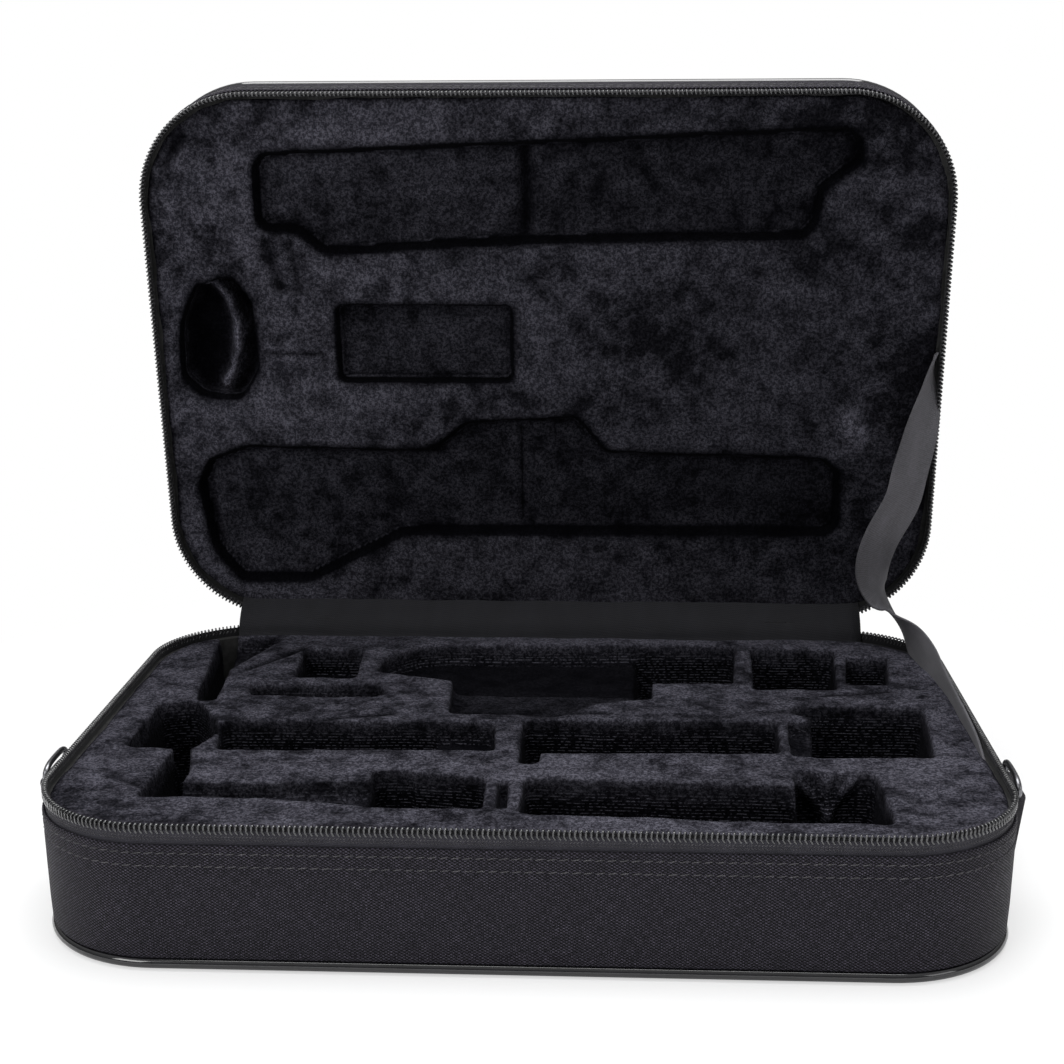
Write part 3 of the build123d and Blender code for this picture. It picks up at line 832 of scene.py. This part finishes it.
def softenPlush(piece, half):
    # lips, folds, small hills in the pile and a rounded edge, and for the finish the painted shade
    # and light and the knit
    look = reliefLook
    mesh = piece.data
    count = len(mesh.vertices)
    spots, normals = np.empty(count * 3), np.empty(count * 3)
    edges = np.empty(len(mesh.edges) * 2, dtype=int)
    mesh.vertices.foreach_get("co", spots)
    mesh.vertex_normals.foreach_get("vector", normals)
    mesh.edges.foreach_get("vertices", edges)
    spots, normals, edges = spots.reshape(-1, 3), normals.reshape(-1, 3), edges.reshape(-1, 2)
    down = -1 if half == "base" else 1
    plan = spots[:, :2] / mm
    depth = np.abs(spots[:, 2] - heightOf(half, 0)) / mm - lining["top"]
    rim = np.array([edgeDistance(x * mm, y * mm, caseSize["lean"] * 4 * mm) / mm for x, y in plan])
    inside = rim > look["inner"]
    sunk = np.where(inside, ramp(depth, look["start"], lining["edge"][half]), 0)
    soft = blurred(sunk, edges, lining["blur"])
    lip = np.where(sunk < look["lipMost"], ramp(soft, 0, look["lipSpan"]), 0) ** look["lipPower"]
    # painted shade: a dark band along each recess edge, and the recess walls dark
    slope = np.clip(4 * sunk * (1 - sunk), 0, 1)
    fold = np.clip(lining["band"][half] * soft * (1 - soft) - look["bandStart"], 0, 1)
    fold = np.maximum(fold, slope) * lining["fold"][half]
    # foot: a thin painted highlight line along the foot of each lid recess wall
    foot = (sunk > 0.97) * np.clip(1 - np.abs(soft - look["footAt"]) / look["footSpan"], 0, 1)
    if half == "lid":
        fold -= foot * look["footLight"]
    # painted shade that deepens with the depth of a hollow
    paintedHollowShade = np.where(inside, ramp(depth, 0, lining["deep"][half]), 0)
    move = -down * lip * lining["lip"]
    for a, b, width, dent in creases[half]:
        pull = hump(lineDistance(plan, a, b), width) * (depth < look["creaseFloor"])
        move += down * pull * dent
        # painted shade in the crease
        fold = np.maximum(fold, pull * look["creaseShade"])
    knit = np.zeros(count)
    if half == "lid":
        ridge = np.min([lineDistance(plan, a, b) for a, b in zip(bellRidge, bellRidge[1:])], axis=0)
        crest = hump(ridge, look["ridgeWidth"]) * ramp(depth, 0, look["ridgeDepth"])
        move -= crest * look["ridgeRise"]
        # the ridge's crest is kept out of the painted hollow shade and painted lighter
        paintedHollowShade *= 1 - crest
        fold -= crest * look["ridgeLight"]
        away = np.linalg.norm(plan - np.array(fluffSpot["middle"]), axis=1)
        # painted shade: the lid darker towards its right side, as the light falls on the pile
        sideShade = ramp(plan[:, 0], look["sideShadeFrom"], look["sideShadeSpan"]) * lining["sideShade"]
        fold += sideShade * (1 - np.clip(fold, 0, 1))
        tuft = hump(away, fluffSpot["radius"]) * (depth < look["fluffDepth"])
        move -= tuft * fluffSpot["height"]
        # the fluffy spot is painted lighter
        fold -= tuft * look["fluffLight"]
    else:
        facing = np.clip(-normals[:, 1], 0, 1)
        knit = facing * ramp(depth, look["knitFrom"], look["knitSpan"]) * inside
        (left, right), (front, back) = wallFolds["x"], wallFolds["y"]
        wall = (plan[:, 0] > left) & (plan[:, 0] < right)
        wall = wall & (plan[:, 1] > front) & (plan[:, 1] < back)
        face = np.column_stack((plan[:, 0], spots[:, 2] / mm))
        for a, b in wallFolds["lines"]:
            pull = hump(lineDistance(face, a, b), wallFolds["width"])
            pull = pull * wall * (depth > wallFolds["from"])
            spots[:, 1] -= pull * wallFolds["rise"] * mm
            # a painted highlight along the fold's crest
            fold -= pull * wallFolds["light"]
    (broad, high), (fine, low) = look["hills"]
    hills = np.array([noise.noise(Vector(s) * broad) * high + noise.noise(Vector(s) * fine) * low
                      for s in spots])
    spots += normals * hills[:, None] * mm
    spots[:, 2] += move * mm
    reach = lining["shoulder"]
    shoulder = (depth < look["shoulderDepth"]) & (rim < reach)
    edge = look["shoulderEdge"]
    near = np.clip((reach - rim) / (reach - edge), 0, 1.15)
    spots[:, 2] += down * lining["drop"] * mm * np.where(shoulder, near ** 2.2, 0)
    # painted shade on the shoulder where the plush rounds over at the rim; -2 leaves the rest as it
    # is
    dark = np.where(shoulder, np.clip((look["edgeShadeReach"] - rim) / edge, 0, 1.15), -2)
    fold = np.maximum(fold, dark)
    mesh.vertices.foreach_set("co", spots.ravel())
    marks = mesh.attributes.new("relief", "FLOAT_COLOR", "POINT")
    marks.data.foreach_set("color", np.column_stack((paintedHollowShade, fold, knit, np.ones(count))).ravel())
    mesh.update()


def addLining(half):
    piece = copyNode(half + "_lining", half + "Plush")
    if half == "lid":
        piece.data.transform(openTurn.inverted())
    remesh = piece.modifiers.new("remesh", "REMESH")
    remesh.mode = "VOXEL"
    remesh.voxel_size = lining["voxel"]
    soften = piece.modifiers.new("soften", "SMOOTH")
    soften.factor = 0.5
    soften.iterations = lining["smoothing"]
    applyAll(piece)
    bpy.ops.object.mode_set(mode="EDIT")
    bpy.ops.mesh.select_all(action="DESELECT")
    mesh = bmesh.from_edit_mesh(piece.data)
    far = caseSize[half] - lining["foamTop"]
    for face in mesh.faces:
        middle = face.calc_center_median()
        depth = abs(middle.z - heightOf(half, 0))
        rim = edgeDistance(middle.x, middle.y, caseSize["lean"] * depth)
        behind = rim < lining["cutInset"] and depth > lining["cut"]
        face.select_set(depth > far - lining["foamRoom"] or behind)
    bmesh.update_edit_mesh(piece.data)
    bpy.ops.mesh.delete(type="FACE")
    bpy.ops.object.mode_set(mode="OBJECT")
    softenPlush(piece, half)
    bpy.ops.object.shade_smooth()
    settle(piece, half, "plush", [half + "_lining"], angle=180)
    print("plush:", half, len(piece.data.polygons), "faces")


addLining("base")
addLining("lid")


# Stay strap
strap = {
    "width": 16 * mm, "thickness": 1.1 * mm, "right": 175.8, "rear": 121.8, "up": 55.2,
    "stations": [
        ((1.5, 9.8, 130.8), (-0.05, -1, -0.17)), ((3.4, 14.8, 114.8), (-0.6, -0.7, 0)),
        ((7.6, 18.8, 96.8), (-0.92, -0.25, 0.08)), ((11.9, 20.3, 79.8), (-1, 0, 0.15)),
        ((15.3, 22.3, 66.3), (-0.93, 0, 0.38)), ((23.8, 22.8, 49.3), (-0.93, -0.05, 0.35)),
        ((26.8, 19.8, 35.8), (-0.98, -0.2, 0.05)), ((24.5, 15.8, 24.3), (-0.75, -0.62, -0.12)),
        ((19, 13.3, 15.8), (-0.3, -0.93, 0.1)), ((13, 18.3, 8.3), (-0.1, -0.9, 0.4)),
        ((7.5, 29.8, 2.3), (0.25, -0.5, 0.82)), ((4.6, 46.8, -1.4), (0.3, -0.1, 0.93)),
        ((3.2, 68, -4), (0.16, 0, 0.98)), ((2.1, 92, -6), (0.06, 0, 1)),
        ((1.6, 118, -7.2), (0.02, 0, 1)), ((1.5, 142, -9), (0, 0, 1)), ((1.5, 158, -13), (0, 0, 1)),
    ],
    "steps": 8, "lanes": 8,
}


def smoothBetween(points, place):
    # a point on the smooth line through the stations
    i = min(int(place), len(points) - 2)
    t = place - i
    p0, p1 = points[max(i - 1, 0)], points[i]
    p2, p3 = points[i + 1], points[min(i + 2, len(points) - 1)]
    return 0.5 * (2 * p1 + (p2 - p0) * t + (2 * p0 - 5 * p1 + 4 * p2 - p3) * t ** 2
                  + (3 * p1 - p0 - 3 * p2 + p3) * t ** 3)


def addStrap():
    centres = [Vector((strap["right"] - x, strap["rear"] - y, strap["up"] + z)) * mm
               for (x, y, z), across in strap["stations"]]
    widths = [Vector(across).normalized() for middle, across in strap["stations"]]
    rows = (len(centres) - 1) * strap["steps"]
    clearSelection()
    bpy.ops.mesh.primitive_grid_add(x_subdivisions=strap["lanes"], y_subdivisions=rows, size=1)
    piece = bpy.context.object
    piece.name = piece.data.name = "stayStrap"
    layer = piece.data.uv_layers.active
    layer.name = "weave"
    spots = [(v.co.x, v.co.y + 0.5) for v in piece.data.vertices]
    lengths = [0.0]
    for i in range(1, rows + 1):
        a = smoothBetween(centres, (i - 1) / strap["steps"])
        b = smoothBetween(centres, i / strap["steps"])
        lengths.append(lengths[-1] + (b - a).length)
    for vertex, (side, share) in zip(piece.data.vertices, spots):
        place = share * (len(centres) - 1)
        middle = smoothBetween(centres, place)
        ahead = smoothBetween(centres, min(place + 0.02, len(centres) - 1))
        behind = smoothBetween(centres, max(place - 0.02, 0))
        along = (ahead - behind).normalized()
        across = smoothBetween(widths, place)
        across = (across - along * across.dot(along)).normalized()
        face = along.cross(across)
        cup = 0.35 * mm * math.cos(side * math.pi)
        vertex.co = middle + across * side * strap["width"] + face * cup
    for loop, spot in zip(piece.data.loops, layer.data):
        side, share = spots[loop.vertex_index]
        spot.uv = (side * strap["width"], lengths[min(round(share * rows), rows)])
    thicken(piece, strap["thickness"], 0)
    roundEdge = piece.modifiers.new("edge", "BEVEL")
    roundEdge.width = 0.35 * mm
    roundEdge.segments = 2
    applyAll(piece)
    bpy.ops.object.shade_smooth_by_angle(angle=math.radians(40))
    giveFinish(piece, "strap")
    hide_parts("lid_stay_strap")
    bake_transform(piece)


addStrap()
print("strap: one length of webbing")


# Cloth hinge
def shutToOpen(y, depth):
    # where a point of the shut lid, by its y and its distance from the rim, lies when open
    return openTurn @ Vector((0, y, heightOf("lid", depth)))


def clothAcross(name, halfWidth, profile, wave, columns=60):
    # a sheet that follows a profile of (y, z) points, slightly uneven along its width
    clearSelection()
    rows = len(profile) - 1
    bpy.ops.mesh.primitive_grid_add(x_subdivisions=columns, y_subdivisions=rows, size=1)
    piece = bpy.context.object
    piece.name = piece.data.name = name
    piece.data.uv_layers.active.name = "weave"
    run = [0.0]
    for a, b in zip(profile, profile[1:]):
        run.append(run[-1] + math.dist(a, b))
    places = []
    for vertex in piece.data.vertices:
        i = round((vertex.co.y + 0.5) * rows)
        x = vertex.co.x * 2 * halfWidth
        y, z = profile[i]
        inner = 0 < i < rows
        drift = noise.noise(Vector((x * 30, i * 0.7, 3))) * wave if inner else 0
        places.append((x, run[i]))
        vertex.co = (x, y + drift, z + drift)
    for loop, spot in zip(piece.data.loops, piece.data.uv_layers.active.data):
        spot.uv = places[loop.vertex_index]
    return piece, run[-1]


stripShape = {
    "halfWidth": 0.147, "inset": 8 * mm, "low": 4.2 * mm, "high": 4.4 * mm, "tuck": 1.5 * mm,
    "tuckDepth": 6 * mm, "bulge": 3.2 * mm, "wave": 0.6 * mm, "thickness": 0.7 * mm,
    "shares": (0.12, 0.24, 0.36, 0.48, 0.6, 0.72, 0.86),
}


def addHingeStrip():
    # both edges are sunk in the plush, and the stretch between them bulges forward
    edge = caseSize["depth"] / 2 - stripShape["inset"]
    low = (edge, caseSize["base"] - stripShape["low"])
    a = shutToOpen(edge, stripShape["high"])
    b = shutToOpen(edge - stripShape["tuck"], stripShape["tuckDepth"])
    profile = [(edge - stripShape["tuck"], caseSize["base"] - stripShape["tuckDepth"]), low]
    for share in stripShape["shares"]:
        sag = math.sin(share * math.pi) * stripShape["bulge"]
        profile.append((low[0] + (a.y - low[0]) * share - sag, low[1] + (a.z - low[1]) * share))
    profile += [(a.y, a.z), (b.y, b.z)]
    piece, length = clothAcross("hingeStrip", stripShape["halfWidth"], profile, stripShape["wave"])
    thicken(piece, stripShape["thickness"])
    applyAll(piece)
    bpy.ops.object.shade_smooth()
    giveFinish(piece, "velour")
    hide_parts("hinge_strip")
    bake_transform(piece)


panelShape = {
    "halfWidth": 0.1, "inset": 0.4 * mm, "tuck": 0.2 * mm, "low": 7.5 * mm, "middle": 4 * mm,
    "knee": 0.5 * mm, "lidRim": 0.2 * mm, "lidEdge": 7.4 * mm, "bulge": 0.25 * mm,
    "wave": 0.25 * mm, "thickness": 0.9 * mm,
}


def addHingePanel():
    # one sheet glued to both rear walls, with a slight bulge over the gap
    out, tuck = caseSize["depth"] / 2 - panelShape["inset"], panelShape["tuck"]
    low = (out - tuck, caseSize["base"] - panelShape["low"])
    knee = (out, caseSize["base"] - panelShape["knee"])
    a = shutToOpen(out, panelShape["lidRim"])
    b = shutToOpen(out - tuck, panelShape["lidEdge"])
    profile = [low, (out - tuck / 2, caseSize["base"] - panelShape["middle"]), knee]
    profile += [((knee[0] + a.y) / 2 + panelShape["bulge"], (knee[1] + a.z) / 2), (a.y, a.z),
                ((a.y + b.y) / 2, (a.z + b.z) / 2), (b.y, b.z)]
    piece, length = clothAcross("hingePanel", panelShape["halfWidth"], profile, panelShape["wave"])
    thicken(piece, panelShape["thickness"], 0)
    applyAll(piece)
    bpy.ops.object.shade_smooth()
    giveFinish(piece, "nylon")
    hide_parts("hinge_panel")
    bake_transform(piece)


addHingeStrip()
addHingePanel()
print("hinge: strip and panel")


# Rings and their tabs
ringSize = {
    "y": -58.0, "barDepth": 7.8, "halfLoop": 2.8, "half": 12.0, "tall": 7.4, "wire": 1.15,
    "lean": 5.0, "turns": 40, "sides": 4, "squareAcross": 0.6, "squareUp": 0.85,
}
tabSize = {
    "width": 20.0, "foot": 8.0, "footOut": 1.5, "footLift": 0.3, "footSink": 0.25, "edge": 2.4,
    "innerTop": 30, "innerOut": 0.15, "lanes": 6, "roundEdge": 0.35, "turnSteps": 8,
    "shares": (0.1, 0.3, 0.5, 0.7, 0.9),
}
barX = (caseSize["width"] / mm / 2 - caseSize["lean"] * ringSize["barDepth"]
        + ringSize["halfLoop"])
barZ = caseSize["base"] / mm - ringSize["barDepth"]


def squared(value, power):
    # keeps the sign, and below a power of 1 makes a round outline squarer
    return math.copysign(abs(value) ** power, value)


def addRing(side):
    # a low D of wire that stands in its tab and leans on the wall
    sign = -1 if side == "left" else 1
    data = bpy.data.curves.new("ring", "CURVE")
    data.dimensions = "3D"
    line = data.splines.new("POLY")
    line.points.add(ringSize["turns"] - 1)
    line.use_cyclic_u = True
    lean = math.radians(ringSize["lean"])
    for i, point in enumerate(line.points):
        turn = 2 * math.pi * i / ringSize["turns"]
        across = squared(math.cos(turn), ringSize["squareAcross"]) * ringSize["half"]
        rise = (squared(math.sin(turn), ringSize["squareUp"]) + 1) * ringSize["tall"] / 2
        point.co = (sign * (barX - rise * math.sin(lean)) * mm, (ringSize["y"] + across) * mm,
                    (barZ + rise * math.cos(lean)) * mm, 1)
    data.bevel_depth = ringSize["wire"] * mm
    data.bevel_resolution = ringSize["sides"]
    piece = bpy.data.objects.new(side + "Ring", data)
    bpy.context.scene.collection.objects.link(piece)
    makeActive(piece)
    bpy.ops.object.convert(target="MESH")
    settle(bpy.context.object, "base", "nickel", ["d_ring_" + side], body="ring_" + side, angle=60)


def tabProfile():
    # from the foot up the outside, over the ring's bar and down the wall, in mm
    wall = caseSize["width"] / mm / 2
    lean = caseSize["lean"]
    footX = wall - lean * (caseSize["base"] / mm - tabSize["foot"])
    profile = [(footX + tabSize["footSink"], tabSize["foot"]),
               (footX + tabSize["footOut"], tabSize["foot"] + tabSize["footLift"])]
    outerX = barX + ringSize["halfLoop"]
    for share in tabSize["shares"]:
        profile.append((footX + tabSize["footOut"] + (outerX - footX - tabSize["footOut"]) * share,
                        tabSize["foot"] + (barZ - tabSize["foot"]) * share))
    for step in range(tabSize["turnSteps"] + 1):
        turn = math.pi * step / tabSize["turnSteps"]
        profile.append((barX + ringSize["halfLoop"] * math.cos(turn),
                        barZ + ringSize["halfLoop"] * math.sin(turn)))
    inner = tabSize["innerTop"]
    profile.append((wall - lean * (caseSize["base"] / mm - inner) + tabSize["innerOut"], inner))
    return profile


def addTab(side):
    # a webbing strip folded over the ring's bar and sewn down the wall
    sign = -1 if side == "left" else 1
    profile = tabProfile()
    piece = emptyMesh(side + "Tab")
    mesh = bmesh.from_edit_mesh(piece.data)
    layer = mesh.loops.layers.uv.verify()
    lanes = tabSize["lanes"]
    rows, run = [], [0.0]
    for a, b in zip(profile, profile[1:] + profile[:1]):
        run.append(run[-1] + math.dist(a, b) * mm)
    for x, z in profile:
        row = []
        for i in range(lanes + 1):
            y = ringSize["y"] + tabSize["width"] * (i / lanes - 0.5)
            row.append(mesh.verts.new((sign * x * mm, y * mm, z * mm)))
        rows.append(row)
    for i, row in enumerate(rows):
        ahead = rows[(i + 1) % len(rows)]
        for j in range(lanes):
            face = mesh.faces.new([row[j], row[j + 1], ahead[j + 1], ahead[j]])
            for loop, (u, v) in zip(face.loops, ((j, i), (j + 1, i), (j + 1, i + 1), (j, i + 1))):
                loop[layer].uv = (tabSize["width"] * mm * u / lanes, run[v])
    for end in (0, lanes):
        cap = mesh.faces.new([row[end] for row in rows])
        for loop in cap.loops:
            loop[layer].uv = (loop.vert.co.x, loop.vert.co.z)
    bmesh.ops.recalc_face_normals(mesh, faces=mesh.faces)
    bmesh.update_edit_mesh(piece.data)
    bpy.ops.object.mode_set(mode="OBJECT")
    edge = piece.modifiers.new("edge", "BEVEL")
    edge.width = tabSize["roundEdge"] * mm
    edge.segments = 2
    edge.angle_limit = math.radians(60)
    applyAll(piece)
    settle(piece, "base", "tabWeb", ["ring_tab_" + side])
    addTabStitches(side, sign, profile)


tabSewing = {
    "first": 3, "pitch": 3.6, "count": 8, "rows": (1.6, 31.4, 17), "across": (-5.4, -1.8, 1.8, 5.4),
    "lift": 0.1, "foot": 1, "top": 6,
}


def addTabStitches(side, sign, profile):
    # a sewn box on the tab's outer face with one row across it
    ends = (profile[tabSewing["foot"]], profile[tabSewing["top"]])
    foot, top = (Vector((x, 0, z)) for x, z in ends)
    tilt = math.atan2(top.x - foot.x, top.z - foot.z)
    half = tabSize["width"] / 2 - tabSize["edge"]
    spots = []
    for step in range(tabSewing["count"]):
        along = tabSewing["first"] + tabSewing["pitch"] * step
        spots += [(-half, along, 90), (half, along, 90)]
    for along in tabSewing["rows"]:
        spots += [(across, along, 0) for across in tabSewing["across"]]
    first = addStitch(side + "TabStitches")
    source = first.data.copy()
    for count, (across, along, turn) in enumerate(spots):
        mesh = first.data if count == 0 else source.copy()
        place = (foot + (top - foot).normalized() * along) * mm
        x, y = sign * (place.x + tabSewing["lift"] * mm), (ringSize["y"] + across) * mm
        where = Matrix.Translation((x, y, place.z))
        lay = Matrix.Rotation(sign * tilt, 4, "Y") @ Matrix.Rotation(math.radians(90), 4, "Y")
        spin = Matrix.Rotation(math.radians(90 - turn), 4, "Z")
        mesh.transform(where @ lay @ spin)
        if count:
            piece = bpy.data.objects.new("stitch", mesh)
            bpy.context.scene.collection.objects.link(piece)
            spots[count] = piece
    joinInto(first, spots[1:])
    settle(first, "base", "thread", [], angle=60)


for side in ("left", "right"):
    addRing(side)
    addTab(side)
    giveFinish(nodes["zip_slider_" + side], "enamel")
    giveFinish(nodes["zip_pull_" + side], "enamel")
print("rings and tabs")
for half in ("base", "lid"):
    giveFinish(nodes[half + "_shell"], "board")
    giveFinish(nodes[half + "_foam"], "foam")


# Floor
floorLook = {"size": 12, "below": -0.0005, "colour": (0.88, 0.88, 0.885, 1), "rough": 0.9,
             "near": 0.16, "far": 0.42, "nearGlow": 0.55}


def addFloor():
    # pale near the case, where it takes the shadow, and plain white to the camera further off
    clearSelection()
    bpy.ops.mesh.primitive_plane_add(size=floorLook["size"], location=(0, 0, floorLook["below"]))
    floor = bpy.context.object
    floor.name = "floor"
    finish = Finish("paleFloor", Roughness=floorLook["rough"], Specular_IOR_Level=0.1)
    finish.feed(finish.shader.inputs["Base Color"], floorLook["colour"])
    glow = finish.node("ShaderNodeEmission", {}, {"Color": (1, 1, 1, 1), "Strength": 1.0})
    seen = finish.node("ShaderNodeLightPath", {}, {}, "Is Camera Ray")
    away = finish.node("ShaderNodeVectorMath", {"operation": "LENGTH"}, {0: finish.place()},
                       "Value")
    mask = seen * finish.spread(away, floorLook["near"], floorLook["far"], floorLook["nearGlow"], 1)
    mixed = finish.node("ShaderNodeMixShader", {}, {
        0: mask, 1: Sock(finish, finish.shader.outputs[0]), 2: glow})
    finish.tree.links.new(mixed.socket, finish.tree.nodes["Material Output"].inputs["Surface"])
    floor.data.materials.append(finish.material)


worldLook = {"From Min": 0.05, "From Max": 0.8, "To Min": 0.07, "To Max": 0.55}


def lightWorld():
    # white to the camera; to the case a dim room that is brighter overhead
    world = bpy.data.worlds.new("studio")
    bpy.context.scene.world = world
    world.use_nodes = True
    tree = world.node_tree
    back = tree.nodes["Background"]
    back.inputs["Color"].default_value = (1, 1, 1, 1)
    way = tree.nodes.new("ShaderNodeTexCoord")
    parts = tree.nodes.new("ShaderNodeSeparateXYZ")
    tree.links.new(way.outputs["Generated"], parts.inputs[0])
    up = tree.nodes.new("ShaderNodeMapRange")
    for label, value in worldLook.items():
        up.inputs[label].default_value = value
    tree.links.new(parts.outputs["Z"], up.inputs["Value"])
    rays = tree.nodes.new("ShaderNodeLightPath")
    strength = tree.nodes.new("ShaderNodeMix")
    strength.inputs[3].default_value = 1.0
    tree.links.new(rays.outputs["Is Camera Ray"], strength.inputs[0])
    tree.links.new(up.outputs[0], strength.inputs[2])
    tree.links.new(strength.outputs[0], back.inputs["Strength"])


addFloor()
lightWorld()
print("floor and light")
